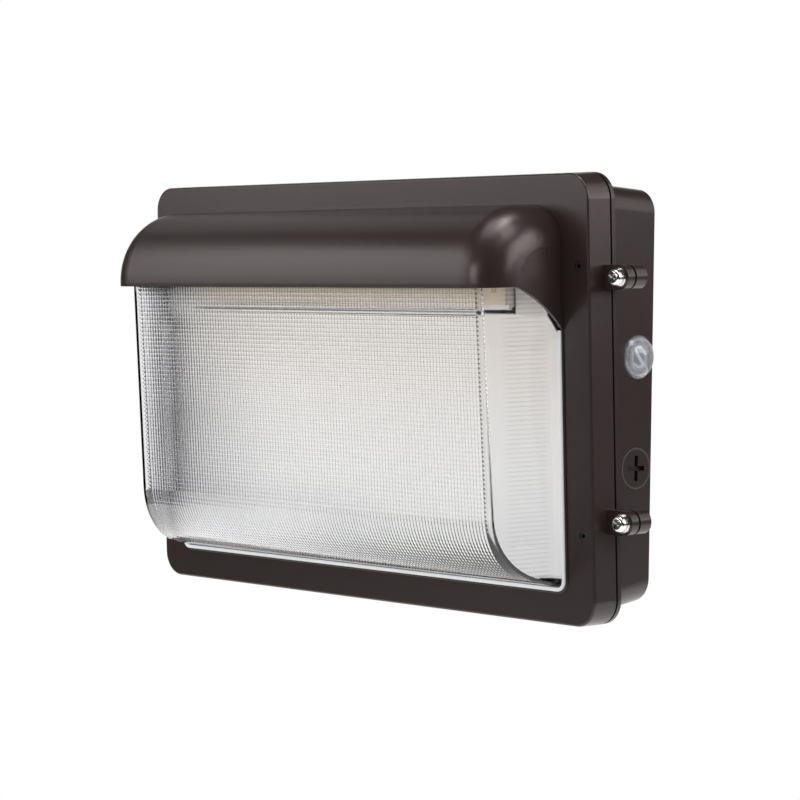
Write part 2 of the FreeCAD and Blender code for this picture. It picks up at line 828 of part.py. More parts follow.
def cross_plug(place, out):
    """Threaded plug with a thin rim and a cross slot, axis along out."""
    body = Part.makeCylinder(plug_r, plug_length, V(0, 0, -plug_length))
    body = body.fuse(Part.makeCylinder(plug_rim_r, plug_rim, V(0, 0, 0)))
    half = plug_slot_width / 2
    low = plug_rim - plug_slot_depth
    deep = plug_slot_depth + 1
    upright = Part.makeBox(2 * half, plug_slot_long, deep, V(-half, -plug_slot_long / 2, low))
    flat = Part.makeBox(plug_slot_short, 2 * half, deep, V(-plug_slot_short / 2, -half, low))
    body = body.cut(upright.fuse(flat))
    body.rotate(V(0, 0, 0), V(0, 0, 1), 90)
    body.rotate(V(0, 0, 0), V(0, 1, 0), 90 if out.x > 0 else -90)
    body.translate(place)
    return body


def conduit_plugs():
    return Part.makeCompound([cross_plug(place, out) for place, out in entry_places()])


def cell_axis(radius, x0, x1):
    side = side_face_x(-entry_from_wall)
    return rod_x(radius, -entry_from_wall, cell_z, side + x0, side + x1)


def photocell_base():
    """Threaded stem of the photocell, open towards its window."""
    stem = cell_axis(entry_r - 0.1, -cell_stem, 0)
    return stem.cut(cell_axis(entry_r - 1.8, 0.5 - cell_stem / 2, 1))


def photocell_dome():
    side = side_face_x(-entry_from_wall)
    bend = (cell_rim_r ** 2 + cell_dome ** 2) / (2 * cell_dome)
    centre = V(side + cell_rim + cell_dome - bend, -entry_from_wall, cell_z)
    cap = Part.makeSphere(bend, centre)
    shell = cap.cut(Part.makeSphere(bend - cell_wall, centre))
    shell = shell.common(cell_axis(cell_rim_r, cell_rim, cell_rim + cell_dome + 1))
    rim = cell_axis(cell_rim_r, 0, cell_rim).cut(cell_axis(cell_rim_r - 2.6, -1, cell_rim + 1))
    return rim.fuse(shell).removeSplitter()


def photocell_sensor():
    """Sensor disc on a post inside the dome."""
    disc = cell_axis(cell_disc_r, 0.4, 1.6)
    post = cell_axis(2.0, 0.5 - cell_stem / 2, 0.4)
    return disc.fuse(post)


def tray():
    """Folded heat-spreading tray that carries the light board."""
    line = [(tray_foot_y, tray_foot_z), (tray_foot_y, tray_top_z), (tray_nose_y, tray_top_z),
            (tray_lip_y, tray_lip_z)]
    body = along_x(bent_strip(line, -tray_thick), -tray_half_x, tray_half_x)
    cheek = [(tray_foot_y - 4, tray_top_z), (tray_nose_y, tray_top_z), (tray_lip_y, tray_lip_z + 1),
             (tray_foot_y - 4, tray_lip_z + 12)]
    for x in (-tray_half_x, tray_half_x - tray_thick):
        body = body.fuse(along_x(cheek, x, x + tray_thick))
    for x in (-tray_screw_x, tray_screw_x):
        body = body.cut(rod_y(small_screw_r + 0.3, x, tray_screw_z, tray_foot_y - 6, tray_foot_y + 6))
    for x in board_screw_x:
        body = body.cut(on_board(Part.makeCylinder(small_screw_r + 0.1, 12, V(x, 0, -10))))
    body = body.cut(on_board(Part.makeCylinder(board_hole_r, 12, V(connector_x, 0, -10))))
    return lean(body.removeSplitter())


def on_board(shape):
    """Takes a shape drawn on the board, X along it and Z out of it, to the tray's sloping face."""
    rise = tray_top_z - tray_lip_z
    run = tray_lip_y - tray_nose_y
    slope = math.degrees(math.atan2(run, rise))
    placed = shape.translated(V(0, 0, tray_thick))
    placed.rotate(V(0, 0, 0), V(1, 0, 0), 90 + slope)
    middle = V(0, (tray_lip_y + tray_nose_y) / 2, (tray_top_z + tray_lip_z) / 2)
    placed.translate(middle)
    return placed


def light_board():
    corner = V(-board_half_x, -board_width / 2, 0)
    plate = Part.makeBox(2 * board_half_x, board_width, board_thick, corner)
    for x in board_screw_x:
        plate = plate.cut(Part.makeCylinder(small_screw_r + 0.2, 6, V(x, 0, -2)))
    plate = plate.cut(Part.makeCylinder(board_hole_r, 6, V(connector_x, 0, -2)))
    return lean(on_board(plate))


def chip_spots():
    """Middle of each light package on the board, clear of the screws and the connector."""
    spots = []
    pitch = 2 * (board_half_x - 8) / (chip_columns - 1)
    for column in range(chip_columns):
        x = 8 - board_half_x + pitch * column
        for y in chip_rows:
            near_screw = y == 0 and min(abs(x - screw) for screw in board_screw_x) < 6
            near_plug = y == 0 and abs(x - connector_x) < connector_size
            if not near_screw and not near_plug:
                spots.append((x, y))
    return spots


def light_packages():
    half = chip_size / 2
    chips = [Part.makeBox(chip_size, chip_size, chip_height, V(x - half, y - half, board_thick))
             for x, y in chip_spots()]
    return lean(on_board(Part.makeCompound(chips)))


def board_connector():
    """Low connector over the hole through which the two leads of the board come."""
    half = connector_size / 2
    corner = V(connector_x - half, -half, board_thick)
    body = Part.makeBox(connector_size, connector_size, connector_height, corner)
    for shift in board_lead_shift:
        foot = V(connector_x + shift, 0, board_thick)
        body = body.cut(Part.makeCylinder(lead_bore_r, connector_height - 1, foot))
    return lean(on_board(body))


def screw_up(x, y, seat, grip):
    """Pan-head screw with its head above Z = seat, pointing down."""
    head = Part.makeCylinder(small_head_r, small_head_h, V(x, y, seat))
    crown = [e for e in head.Edges if e.BoundBox.ZLength < 0.01 and e.BoundBox.ZMin > seat + 0.5]
    head = head.makeFillet(small_head_h * 0.45, crown)
    body = head.fuse(Part.makeCylinder(small_screw_r, grip, V(x, y, seat - grip)))
    arm = small_head_r * 0.5
    half = small_head_r * 0.12
    top = seat + small_head_h * 0.4
    flat = Part.makeBox(2 * arm, 2 * half, 3, V(x - arm, y - half, top))
    upright = Part.makeBox(2 * half, 2 * arm, 3, V(x - half, y - arm, top))
    return body.cut(flat.fuse(upright))


def board_screws():
    screws = [screw_up(x, 0, board_thick, board_thick + tray_thick + 1) for x in board_screw_x]
    return lean(on_board(Part.makeCompound(screws)))


def tray_screws():
    screws = [pan_screw(x, tray_screw_z, tray_foot_y, small_screw_r, small_head_r, small_head_h,
                        tray_thick + small_screw_grip) for x in (-tray_screw_x, tray_screw_x)]
    return lean(Part.makeCompound(screws))


def mirror_shell(inset):
    """Bowl of the reflector, drawn in by the sheet's thickness for its inside."""
    back = (mirror_half_x, mirror_low, mirror_high, 6.0, mirror_back + mirror_thick - inset)
    rim = (mirror_rim_half_x, mirror_rim_low, mirror_rim_high, 8.0, mirror_rim - inset)
    return taper(back, rim)


def reflector():
    """White sheet behind the lens: a bowl, a strip up to the tray and a wing at each end of the tray."""
    body = mirror_shell(0).cut(mirror_shell(mirror_thick))
    strip = [(mirror_rim, mirror_rim_high - 1.5), (mirror_lip_y, mirror_lip_z)]
    body = body.fuse(along_x(bent_strip(strip, -mirror_thick), -mirror_strip_half_x, mirror_strip_half_x))
    wing_root = tray_half_x + mirror_wing_gap
    wing = bent_strip(strip + [(mirror_lip_y, tray_top_z)], -mirror_thick)
    for x0, x1 in ((-mirror_strip_half_x, -wing_root), (wing_root, mirror_strip_half_x)):
        body = body.fuse(along_x(wing, x0, x1))
    for x in mirror_screw_x:
        for z in mirror_screw_z:
            body = body.cut(rod_y(small_screw_r + 0.3, x, z, mirror_back - 2, mirror_back + 3))
    return lean(body.removeSplitter())


def reflector_screws():
    grip = mirror_thick + small_screw_grip
    screws = [pan_screw(x, z, mirror_back, small_screw_r, small_head_r, small_head_h, grip)
              for x in mirror_screw_x for z in mirror_screw_z]
    return lean(Part.makeCompound(screws))


def driver():
    """Power supply case with a fixing tab at each end."""
    rear = -floor_thick - driver_lift
    case = block(driver_x - driver_half_x, driver_x + driver_half_x, rear - driver_depth, rear,
                 driver_z - driver_half_z, driver_z + driver_half_z)
    long_edges = [e for e in case.Edges if e.BoundBox.XLength > driver_half_x]
    case = case.makeFillet(driver_round, long_edges)
    reach = driver_half_x + driver_tab
    tabs = block(driver_x - reach, driver_x + reach, rear - driver_tab_thick, rear,
                 driver_z - 8, driver_z + 8)
    body = case.fuse(tabs)
    for x in driver_screw_places():
        body = body.cut(rod_y(small_screw_r + 0.3, x, driver_z, rear - 5, rear + 1))
    return body.removeSplitter()


def driver_screws():
    seat = -floor_thick - driver_lift - driver_tab_thick
    grip = driver_tab_thick + 2
    screws = [pan_screw(x, driver_z, seat, small_screw_r, small_head_r, small_head_h, grip)
              for x in driver_screw_places()]
    return Part.makeCompound(screws)


def lead(points, bend=lead_bend):
    """Insulated wire through a list of points, with an arc at each of its corners."""
    edges = []
    start = points[0]
    for before, corner, after in zip(points, points[1:], points[2:]):
        back = (before - corner).normalize()
        on = (after - corner).normalize()
        half_angle = back.getAngle(on) / 2
        cut = bend / math.tan(half_angle)
        middle_way = (back + on).normalize()
        first = corner + back * cut
        last = corner + on * cut
        middle = corner + middle_way * (bend / math.sin(half_angle) - bend)
        edges.append(Part.makeLine(start, first))
        edges.append(Part.Arc(first, middle, last).toShape())
        start = last
    edges.append(Part.makeLine(start, points[-1]))
    path = Part.Wire(edges)
    way = (points[1] - points[0]).normalize()
    section = Part.Wire([Part.makeCircle(lead_r, points[0], way)])
    return path.makePipeShell([section], True, True)


def wire_connectors():
    """Twist-on connectors, mouth up, to the right of the driver."""
    cones = []
    for x in nut_x:
        mouth = V(x, nut_y, nut_mouth_z)
        cone = Part.makeCone(nut_base_r, nut_tip_r, nut_length, mouth, V(0, 0, -1))
        cones.append(cone.cut(Part.makeCylinder(nut_bore_r, nut_bore_depth, mouth, V(0, 0, -1))))
    return Part.makeCompound(cones)


def nut_lead(start, index, side):
    """Lead that runs level from its start and then down into a connector."""
    x = nut_x[index]
    y = nut_y + side * nut_lead_shift
    end = V(x, y, nut_mouth_z - nut_bore_depth + 1)
    return lead([V(start.x, y, start.z), V(x, y, start.z), end])


def driver_end(sign, z_shift):
    return V(driver_x + sign * driver_half_x, 0, driver_z + z_shift)


def cell_end(z_shift):
    """Where a lead leaves the inner end of the photocell."""
    return V(side_face_x(-entry_from_wall) - cell_stem, 0, cell_z + z_shift)


def board_lead(shift, z_shift):
    """Lead from the left end of the driver, up behind the reflector and into the board."""
    x = connector_x + shift
    start = driver_end(-1, z_shift)
    start.y = -board_lead_depth
    turn = lean_point(x, 0, board_lead_turn_z)
    face_z = (tray_top_z + tray_lip_z) / 2
    end = lean_point(x, tray_lip_y - tray_thick - board_thick - connector_height + 1.5, face_z)
    rise_y = end.y + 20
    points = [start, V(x, start.y, start.z), V(x, start.y, turn.z), V(x, rise_y, turn.z),
              V(x, rise_y, end.z), end]
    return lead(points, board_lead_bend)


def leads_black():
    return Part.makeCompound([nut_lead(driver_end(1, 8.0), 2, 1), nut_lead(cell_end(5.0), 0, -1)])


def leads_white():
    return Part.makeCompound([nut_lead(driver_end(1, 0.0), 1, 1), nut_lead(cell_end(2.2), 1, -1)])


def leads_red():
    return Part.makeCompound([nut_lead(cell_end(-0.6), 2, -1), board_lead(board_lead_shift[0], 4.0)])


def lead_blue():
    return board_lead(board_lead_shift[1], 8.0)


def ground_lug():
    """Ring terminal under the ground screw, its barrel towards the connectors."""
    rear = -floor_thick - ground_post
    ring_plate = rod_y(lug_r, ground_x, ground_z, rear - lug_thick, rear)
    ring_plate = ring_plate.cut(rod_y(small_screw_r + 0.2, ground_x, ground_z, rear - 3, rear + 1))
    side = ground_x - lug_r
    barrel = rod_x(lug_barrel_r, rear - lug_barrel_lift, ground_z, side - 5, side + 0.6)
    bore = rod_x(lead_bore_r, rear - lug_barrel_lift, ground_z, side - 6, side - 1)
    return ring_plate.fuse(barrel).cut(bore).removeSplitter()


def lead_green():
    y = -floor_thick - ground_post - lug_barrel_lift
    start = V(ground_x - lug_r - 1.5, y, ground_z)
    x = nut_x[3] + nut_lead_shift
    return lead([start, V(x, y, ground_z), V(x, y, nut_mouth_z - nut_bore_depth + 1)], 6.0)


def ground_screw():
    seat = -floor_thick - ground_post - lug_thick
    return pan_screw(ground_x, ground_z, seat, small_screw_r, small_head_r, small_head_h, 4.0)


def main():
    os.makedirs("parts", exist_ok=True)
    export("door", door())
    export("lens", lens())
    export("lens_gasket", lens_gasket())
    export("lens_clips", lens_clips())
    export("lens_clip_screws", lens_clip_screws())
    export("face_screws", face_screws())
    export("seam_gasket", seam_gasket())
    export("housing", housing())
    export("wall_seal", wall_seal())
    export("hinge_pins", hinge_pins())
    for name, z in zip(("upper", "lower"), ear_z):
        export("cover_screw_" + name, cover_screw(z))
        export("cover_washers_" + name, cover_washers(z))
    export("conduit_plugs", conduit_plugs())
    export("photocell_base", photocell_base())
    export("photocell_dome", photocell_dome())
    export("photocell_sensor", photocell_sensor())
    export("tray", tray())
    export("tray_screws", tray_screws())
    export("light_board", light_board())
    export("light_packages", light_packages())
    export("board_connector", board_connector())
    export("board_screws", board_screws())
    export("reflector", reflector())
    export("reflector_screws", reflector_screws())
    export("driver", driver())
    export("driver_screws", driver_screws())
    export("wire_connectors", wire_connectors())
    export("leads_black", leads_black())
    export("leads_white", leads_white())
    export("leads_red", leads_red())
    export("lead_blue", lead_blue())
    export("ground_lug", ground_lug())
    export("lead_green", lead_green())
    export("ground_screw", ground_screw())


main()
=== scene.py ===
import json
import math
import bmesh
import bpy
from mathutils import Matrix, Vector


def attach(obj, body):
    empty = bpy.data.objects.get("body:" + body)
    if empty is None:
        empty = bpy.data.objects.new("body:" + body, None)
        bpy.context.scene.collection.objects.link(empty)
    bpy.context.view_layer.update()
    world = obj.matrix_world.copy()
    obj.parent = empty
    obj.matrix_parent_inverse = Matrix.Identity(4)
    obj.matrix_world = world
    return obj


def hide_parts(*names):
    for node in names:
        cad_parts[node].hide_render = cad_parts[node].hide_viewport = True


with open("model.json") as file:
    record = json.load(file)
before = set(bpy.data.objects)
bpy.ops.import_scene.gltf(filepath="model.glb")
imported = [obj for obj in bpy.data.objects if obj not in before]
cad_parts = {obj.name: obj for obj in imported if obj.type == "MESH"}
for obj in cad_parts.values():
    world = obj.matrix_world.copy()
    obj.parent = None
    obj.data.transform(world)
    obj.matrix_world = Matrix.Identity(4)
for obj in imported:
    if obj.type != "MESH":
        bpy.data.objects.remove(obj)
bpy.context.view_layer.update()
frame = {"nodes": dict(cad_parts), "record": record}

print("frame loaded")

# The door's top stands further from the wall than its foot, so its pieces are drawn upright in the
# door's own frame (x across, y out of the face, z up) and then leaned.
doorFrame = {"tilt": 2.9, "faceY": -0.054, "drop": -0.003}
leaned = Matrix.Translation((0, doorFrame["faceY"], doorFrame["drop"])) @ Matrix.Rotation(
    math.radians(doorFrame["tilt"]), 4, "X")
merging = {"close": 1e-6, "flutes": 1e-5, "mirrored": 1e-4}  # metres within which vertices are one


class Signal:  # one output socket, usable in Python expressions
    def __init__(self, paint, socket):
        self.paint = paint
        self.socket = socket

    def math(self, operation, *others):
        return self.paint.node("ShaderNodeMath", {"operation": operation},
                               dict(enumerate((self,) + others)))

    def __add__(self, other):
        return self.math("ADD", other)

    def __sub__(self, other):
        return self.math("SUBTRACT", other)

    def __rsub__(self, other):
        return self.paint.node("ShaderNodeMath", {"operation": "SUBTRACT"}, {0: other, 1: self})

    def __mul__(self, other):
        return self.math("MULTIPLY", other)

    def __gt__(self, other):
        return self.math("GREATER_THAN", other)

    def __lt__(self, other):
        return self.math("LESS_THAN", other)

    __radd__ = __add__
    __rmul__ = __mul__

    def ramp(self, zero, one):  # 0 up to the first limit and 1 past the second, whichever is higher
        return self.paint.node("ShaderNodeMapRange", {"interpolation_type": "SMOOTHSTEP"},
                               {"Value": self, "From Min": zero, "From Max": one})

    def wave(self, pitch):  # -1 to 1 and back over one pitch
        return (self * (2 * math.pi / pitch)).math("SINE")


class Paint:  # one material, or the world, and its node tree
    def __init__(self, name, world=None):
        self.owner = world or bpy.data.materials.new(name)
        self.owner.use_nodes = True
        self.tree = self.owner.node_tree
        self.tree.nodes.clear()

    def node(self, kind, settings=None, sockets=None, out=0):
        made = self.tree.nodes.new(kind)
        for key, value in (settings or {}).items():
            setattr(made, key, value)
        for key, value in (sockets or {}).items():
            if isinstance(value, Signal):
                self.tree.links.new(value.socket, made.inputs[key])
            elif isinstance(value, tuple) and made.inputs[key].type == "RGBA":
                made.inputs[key].default_value = (*value, 1)
            else:
                made.inputs[key].default_value = value
        return Signal(self, made.outputs[out]) if made.outputs else made

    def ray(self, kind):
        return self.node("ShaderNodeLightPath", out="Is " + kind + " Ray")

    def place(self):
        return self.node("ShaderNodeTexCoord", out="Object")

    def axes(self):
        where = self.place()
        return [self.node("ShaderNodeSeparateXYZ", sockets={0: where}, out=k) for k in range(3)]

    def doorAxes(self):  # the place in the upright door's own frame
        x, y, z = self.axes()
        lean = math.radians(doorFrame["tilt"])
        y = y - doorFrame["faceY"]
        z = z - doorFrame["drop"]
        return x, y * math.cos(lean) + z * math.sin(lean), z * math.cos(lean) - y * math.sin(lean)

    def fromAxis(self, piece):  # distance from the piece's axis, which runs across, and its two parts
        y, z = self.axes()[1:]
        y = y - piece["y"]
        z = z - piece["z"]
        return (y * y + z * z).math("SQRT"), y, z

    def noise(self, scale, detail, stretch=None):
        where = self.place()
        if stretch:
            where = self.node("ShaderNodeMapping", sockets={"Vector": where, "Scale": stretch})
        return self.node("ShaderNodeTexNoise",
                         sockets={"Vector": where, "Scale": scale, "Detail": detail})

    def mix(self, share, low, high):
        return self.node("ShaderNodeMix", {"data_type": "RGBA"}, {0: share, 6: low, 7: high}, 2)

    def bump(self, height, distance, strength):
        return self.node("ShaderNodeBump", sockets={"Height": height, "Distance": distance,
                                                     "Strength": strength})

    def surface(self, **sockets):
        named = {key.replace("_", " "): value for key, value in sockets.items()}
        return self.node("ShaderNodeBsdfPrincipled", sockets=named)

    def passLamps(self, clear, tint):  # lamp light and bounced light go straight through a clear piece
        passing = self.ray("Shadow").math("MAXIMUM", self.ray("Diffuse"))
        straight = self.node("ShaderNodeBsdfTransparent", sockets={"Color": tint})
        return self.node("ShaderNodeMixShader", sockets={0: passing, 1: clear, 2: straight})

    def finish(self, shader):
        self.node("ShaderNodeOutputMaterial", sockets={"Surface": shader})
        return self.owner


coat = {  # bronze powder coat: fine grain, orange peel and broad patches
    "dark": (0.0185, 0.0121, 0.0116), "light": (0.0222, 0.0147, 0.0140),
    "shine": 0.5, "rough": 0.25, "glint": (1.0, 0.87, 0.87),
    "grain": 2400.0, "peel": 430.0, "patches": 11.0,
    "grainTone": 0.5, "patchTone": 0.7, "toneShift": 0.1, "tones": (0.2, 0.8),
    "peelRough": 0.06, "patchRough": 0.04,
    "grainDepth": 0.35, "peelDepth": 0.65, "depth": 0.00012, "relief": 0.45,
}


def powderCoat():
    paint = Paint("bronzeCoat")
    grain = paint.noise(coat["grain"], 2.0)
    peel = paint.noise(coat["peel"], 3.0)
    patches = paint.noise(coat["patches"], 3.0)
    share = patches * coat["patchTone"] + grain * coat["grainTone"] - coat["toneShift"]
    rough = coat["rough"] + peel * coat["peelRough"] + patches * coat["patchRough"]
    skin = paint.bump(grain * coat["grainDepth"] + peel * coat["peelDepth"], coat["depth"],
                      coat["relief"])
    return paint.finish(paint.surface(
        Base_Color=paint.mix(share.ramp(*coat["tones"]), coat["dark"], coat["light"]),
        Roughness=rough, Normal=skin, Specular_IOR_Level=coat["shine"], Specular_Tint=coat["glint"]))


lensShape = {  # the bulge, in the door's own frame
    "halfX": 0.159, "low": -0.098, "high": 0.095,
    "coreRear": 0.004, "rear": 0.0083,  # how far behind the door's face the core and the hollow reach
    "frontHigh": 0.0456, "frontLow": 0.0399,
    "draft": 0.262,  # the foot and the ends lean in towards the front
    "lowRound": 0.038, "highRound": 0.033, "topCorner": 0.014, "wall": 0.0024,
    "flutePitch": 0.0024, "fluteDepth": 0.00025, "fluteCount": 118,
    "fluteForm": (0.0, 0.8, 1.0, 0.8, 0.0),  # rise of one flute from side to side
    "roundSteps": 12, "cornerCuts": (22.5, 45, 67.5),
    "spare": 0.004, "coreInset": 0.0012, "wallPlay": 0.00005, "smooth": 30,
}


def towards(start, goal, length):
    return start + (goal - start).normalized() * length


def roundCentre(corner, before, after, radius):
    # centre, turn and tangent length of a round between two runs, in (y, z)
    a = (before - corner).normalized()
    b = (after - corner).normalized()
    half = a.angle(b) / 2
    centre = corner + (a + b).normalized() * (radius / math.sin(half))
    return centre, math.pi - 2 * half, radius / math.tan(half)


def lensRoute(inset, rear):
    # the side profile of the bulge, drawn in by an even inset: corners in (y, z) and the two rounds
    s = lensShape
    low = s["low"] + inset
    high = s["high"] - inset
    frontLow = s["frontLow"] - inset
    run = [Vector((rear, high)), Vector((inset - s["frontHigh"], high)),
           Vector((-frontLow, low + s["draft"] * frontLow)), Vector((0, low)), Vector((rear, low))]
    radii = (s["highRound"] - inset, s["lowRound"] - inset)
    return run, [roundCentre(run[k], run[k - 1], run[k + 1], radii[k - 1]) for k in (1, 2)]


glass = {  # pairs are the limits of a ramp, the other values heights or shares
    "tint": (0.963, 0.963, 0.966), "lineShade": (0.70, 0.702, 0.725), "throughShade": (0.80, 0.80, 0.825),
    "shadow": (0.985, 0.985, 0.985), "rough": 0.06, "ior": 1.49,
    # the front is ribbed across its flutes, each end only on a strip
    "frontX": (0.1425, 0.1415), "endFrontY": (-0.034, -0.029), "endRearY": (-0.006, -0.011),
    "ribPitch": 0.0024, "ribHeight": 0.00007, "endRibs": 0.15,
    "footRibs": 0.25, "footRibsZ": (-0.012, 0.004),  # the ribs grow weak on the lower round
    "flowScale": 60.0, "flow": 0.00001,
    # the grid's lines are painted shade, standing in for the dark seen through the flutes and ribs;
    # darker at the top and on the left
    "fluteWave": (0.45, 0.95), "ribWave": (-0.40, -0.95), "endWave": (0.2, 0.9),
    "leftX": (0.030, -0.080), "topZ": (-0.015, 0.035),
    "ribLines": 0.20, "ribLinesTop": 0.40, "ribLinesLeft": 0.30,
    "fluteLines": 0.06, "fluteLinesLeft": 0.74, "endLines": 0.5,
    # painted shade in the glass's tint, standing in for the darker parts seen through it; it grows to
    # the left and to the foot
    "farX": (-0.020, -0.120), "cornerX": (-0.105, -0.128), "cornerLoss": 0.5,
    "footZ": (-0.040, -0.070), "footX": (0.100, 0.020), "footShade": 0.6,
    "endFootZ": (-0.030, -0.085), "endShade": 0.3,
}


def alongProfile(y, z, high, low):
    # how far up the bulge a place is, followed over the round at its foot and the one at its top
    lowTurn = (low.y - z).math("ARCTAN2", low.x - y) * lensShape["lowRound"]
    highTurn = (z - high.y).math("ARCTAN2", high.x - y) * lensShape["highRound"]
    return (z > high.y) * (high.y + highTurn) + (z < low.y) * (low.y - lowTurn) \
        + (z > low.y) * (z < high.y) * z


def prismGlass():
    paint = Paint("prismGlass")
    x, y, z = paint.doorAxes()
    high, low = [turn[0] for turn in lensRoute(lensShape["wall"], 0.0)[1]]
    onFront = x.math("ABSOLUTE").ramp(*glass["frontX"])
    onEnd = (1 - onFront) * y.ramp(*glass["endFrontY"]) * y.ramp(*glass["endRearY"])

    ribs = alongProfile(y, z, high, low).wave(glass["ribPitch"])
    endRibs = z.wave(glass["ribPitch"])
    weak, full = glass["footRibsZ"]
    ribShare = glass["footRibs"] + z.ramp(low.y + weak, low.y + full) * (1 - glass["footRibs"])
    height = (ribs * onFront * ribShare + endRibs * onEnd * glass["endRibs"]) * glass["ribHeight"]
    flow = paint.noise(glass["flowScale"], 2.0) * glass["flow"]
    skin = paint.bump(height + flow, 1.0, 1.0)  # both heights are in metres already

    pitch = lensShape["flutePitch"]
    left = x.ramp(*glass["leftX"])
    # painted shade: dark lines along the ribs and the flutes
    ribLines = ribs.ramp(*glass["ribWave"]) * (
        glass["ribLines"] + z.ramp(*glass["topZ"]) * glass["ribLinesTop"] + left * glass["ribLinesLeft"])
    fluteLines = (x + pitch / 4).wave(pitch).ramp(*glass["fluteWave"]) * (
        glass["fluteLines"] + left * glass["fluteLinesLeft"])
    endLines = endRibs.ramp(*glass["endWave"]) * onEnd * glass["endLines"]
    grid = (ribLines.math("MAXIMUM", fluteLines) * onFront).math("MAXIMUM", endLines)

    # painted shade: greyer to the left, to the foot and down the ends
    farSide = x.ramp(*glass["farX"]) * (1 - x.ramp(*glass["cornerX"]) * glass["cornerLoss"])
    foot = z.ramp(*glass["footZ"]) * x.ramp(*glass["footX"]) * glass["footShade"]
    endFoot = (1 - onFront) * z.ramp(*glass["endFootZ"]) * glass["endShade"]
    throughShade = (farSide + foot).math("MINIMUM", 1.0) * onFront + endFoot

    # the glass's tint, darkened by the painted shade and the painted shade lines
    tint = paint.mix(grid, paint.mix(throughShade, glass["tint"], glass["throughShade"]), glass["lineShade"])
    clear = paint.surface(Base_Color=tint, Roughness=glass["rough"], IOR=glass["ior"],
                          Transmission_Weight=1.0, Normal=skin)
    return paint.finish(paint.passLamps(clear, glass["shadow"]))


mottle = {"patches": 24.0, "share": 0.6, "shift": 0.1, "tones": (0.2, 0.85), "relief": 0.6}


def plainFinish(name, dark, light, rough, grain=900.0, depth=0.00003, metal=0.0, stretch=None,
                spread=0.12):
    # mottled from dark to light, with the roughness spread about its middle by the grain
    paint = Paint(name)
    fine = paint.noise(grain, 3.0, stretch)
    patches = paint.noise(mottle["patches"], 3.0)
    share = fine * mottle["share"] + patches * mottle["share"] - mottle["shift"]
    return paint.finish(paint.surface(
        Base_Color=paint.mix(share.ramp(*mottle["tones"]), dark, light),
        Roughness=rough + (fine - 0.5) * spread, Metallic=metal,
        Normal=paint.bump(fine, depth, mottle["relief"])))


reflector = {  # painted warm bounce light from the board comes in between two heights of the door's frame
    "bounceTint": (0.885, 0.835, 0.785), "plain": (0.895, 0.89, 0.88), "bounceZ": (-0.045, 0.06),
    "patches": 16.0, "patchDrift": 0.02, "grain": 900.0, "rough": 0.36, "grainRough": 0.08,
    "depth": 0.00002, "relief": 0.5,
}


def reflectorPaint():  # white paint, with painted warm bounce light near the board, whose colour it takes on
    paint = Paint("reflectorPaint")
    up = paint.doorAxes()[2]
    fine = paint.noise(reflector["grain"], 3.0)
    patches = paint.noise(reflector["patches"], 2.0)
    # painted bounce light: warmer up towards the board
    paintedBounce = (up + patches * reflector["patchDrift"]).ramp(*reflector["bounceZ"])
    return paint.finish(paint.surface(
        Base_Color=paint.mix(paintedBounce, reflector["plain"], reflector["bounceTint"]),
        Roughness=reflector["rough"] + fine * reflector["grainRough"],
        Normal=paint.bump(fine, reflector["depth"], reflector["relief"])))


cell = {  # photocell: clear dome over a grey disc with a pale ring and a painted highlight, a pale slanted bar
    "y": -0.0123, "z": 0.020, "rim": (0.0082, 0.0088),
    "clear": (0.58, 0.58, 0.61), "pale": (0.78, 0.78, 0.82), "ior": 1.45, "through": 0.86,
    "flow": 180.0, "rough": 0.03, "flowRough": 0.05, "rimRough": 0.1, "depth": 0.0002, "relief": 0.5,
    "shadow": (0.9, 0.9, 0.92),
    "ringIn": 0.0046, "ringOut": 0.0056, "highlightBar": 0.0009, "blur": 0.0003, "slant": (0.77, 0.64),
    "dull": (0.10, 0.11, 0.14), "bright": (0.75, 0.77, 0.82), "ringShare": 0.7,
    "grain": 900.0, "grainShare": 0.3, "discRough": 0.3, "grainRough": 0.2,
}


def domePlastic():
    paint = Paint("domePlastic")
    flow = paint.noise(cell["flow"], 2.0)
    rim = paint.fromAxis(cell)[0].ramp(*cell["rim"])
    clear = paint.surface(
        Base_Color=paint.mix(rim, cell["clear"], cell["pale"]),
        Roughness=cell["rough"] + flow * cell["flowRough"] + rim * cell["rimRough"],
        IOR=cell["ior"], Transmission_Weight=cell["through"],
        Normal=paint.bump(flow, cell["depth"], cell["relief"]))
    return paint.finish(paint.passLamps(clear, cell["shadow"]))


def cellFace():
    paint = Paint("cellFace")
    reach, y, z = paint.fromAxis(cell)
    blur = cell["blur"]
    ring = reach.ramp(cell["ringIn"] - blur, cell["ringIn"]) \
        * reach.ramp(cell["ringOut"] + blur, cell["ringOut"])
    offBar = (y * cell["slant"][0] + z * cell["slant"][1]).math("ABSOLUTE")
    # painted highlight: a pale slanted bar inside the ring
    highlightBar = offBar.ramp(cell["highlightBar"] + blur, cell["highlightBar"]) * reach.ramp(cell["ringOut"], cell["ringIn"])
    fine = paint.noise(cell["grain"], 2.0)
    share = highlightBar.math("MAXIMUM", ring * cell["ringShare"]).math("MAXIMUM", fine * cell["grainShare"])
    return paint.finish(paint.surface(Base_Color=paint.mix(share, cell["dull"], cell["bright"]),
                                      Roughness=cell["discRough"] + fine * cell["grainRough"]))


plug = {  # the painted highlight comes in between the two radii of its edge
    "y": -0.0123, "z": -0.0385, "edge": (0.0098, 0.0104), "rimHighlight": (0.075, 0.062, 0.060),
    "grain": 1400.0, "rimHighlightShare": 0.5, "grainRough": 0.1, "depth": 0.00006, "relief": 0.4,
}


